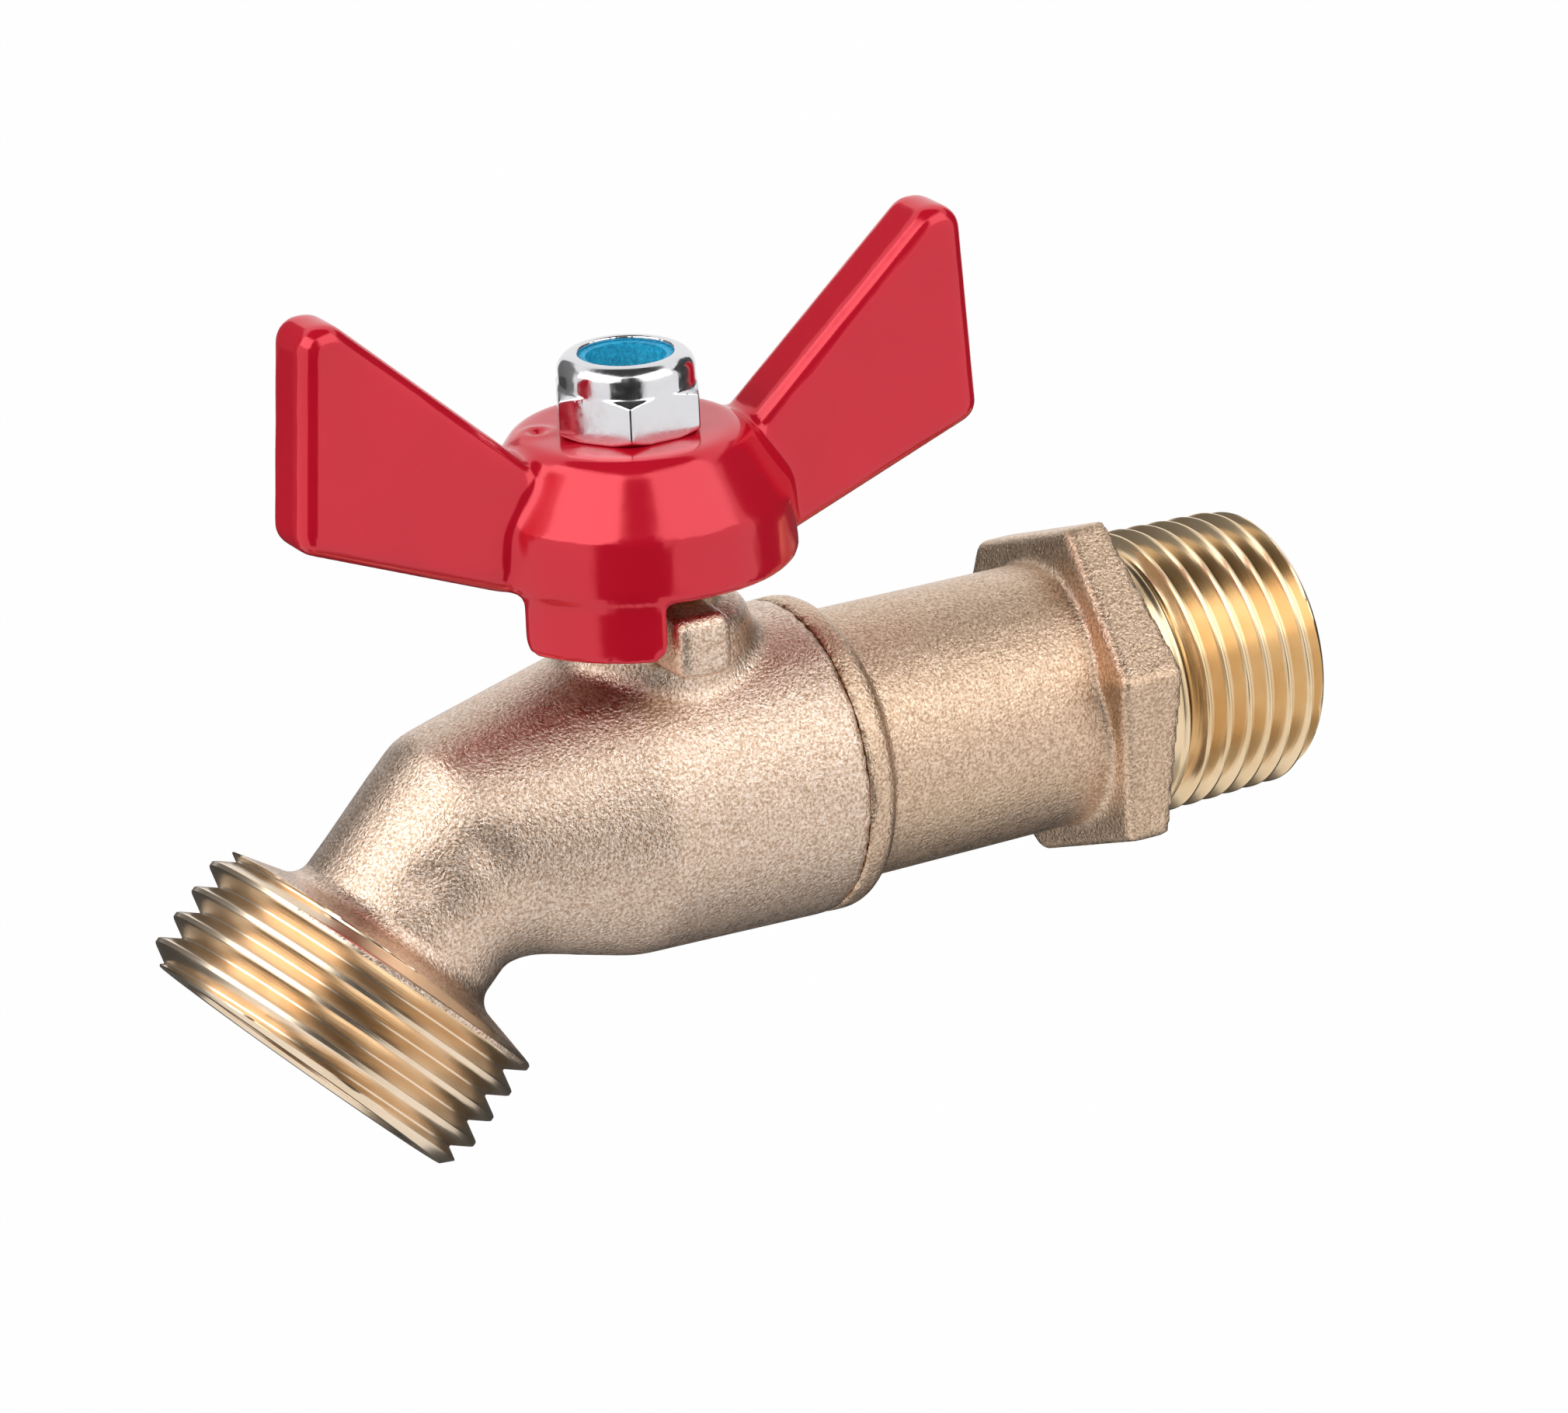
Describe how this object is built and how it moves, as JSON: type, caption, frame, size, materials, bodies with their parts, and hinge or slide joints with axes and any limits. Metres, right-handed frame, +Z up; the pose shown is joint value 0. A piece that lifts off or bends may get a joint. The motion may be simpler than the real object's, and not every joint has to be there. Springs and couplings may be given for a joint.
{
  "type": "hose bibb",
  "caption": "Quarter-turn brass ball valve with a male pipe-thread inlet, an angled spout ending in a hose thread, and a red butterfly handle under a locking nut.",
  "frame": {"origin": "on the inlet thread's axis, in its hand-tight plane, 8.1 mm inside the end of the thread", "axes": "+X out of the inlet along its axis, +Z up the stem towards the handle, +Y to the left when facing along +X"},
  "size_m": [0.0905, 0.0269, 0.0629],
  "materials": {
    "forged_brass": "satin, shot-blasted",
    "turned_brass": "bright turned",
    "ball_plate": "polished plating",
    "seal_plastic": "smooth",
    "dipped_red": "thick glossy dip",
    "zinc_plate": "bright plating",
    "blue_nylon": "satin"
  },
  "bodies": {
    "valve": {"valve_body": "forged_brass", "inlet_adapter": "forged_brass", "inlet_seat": "seal_plastic", "outlet_seat": "seal_plastic", "thrust_washer": "seal_plastic", "packing_lower": "seal_plastic", "packing_upper": "seal_plastic", "gland_nut": "turned_brass"},
    "handle": {"stem": "turned_brass", "ball": "ball_plate", "butterfly_handle": "dipped_red", "lock_nut": "zinc_plate", "nut_insert": "blue_nylon"}
  },
  "joints": [
    {"name": "handle_turn", "type": "hinge", "parent": "valve", "child": "handle", "pos_m": [-0.0444, 0, 0.02], "axis": [0, 0, 1], "range_deg": [-90, 0]}
  ]
}
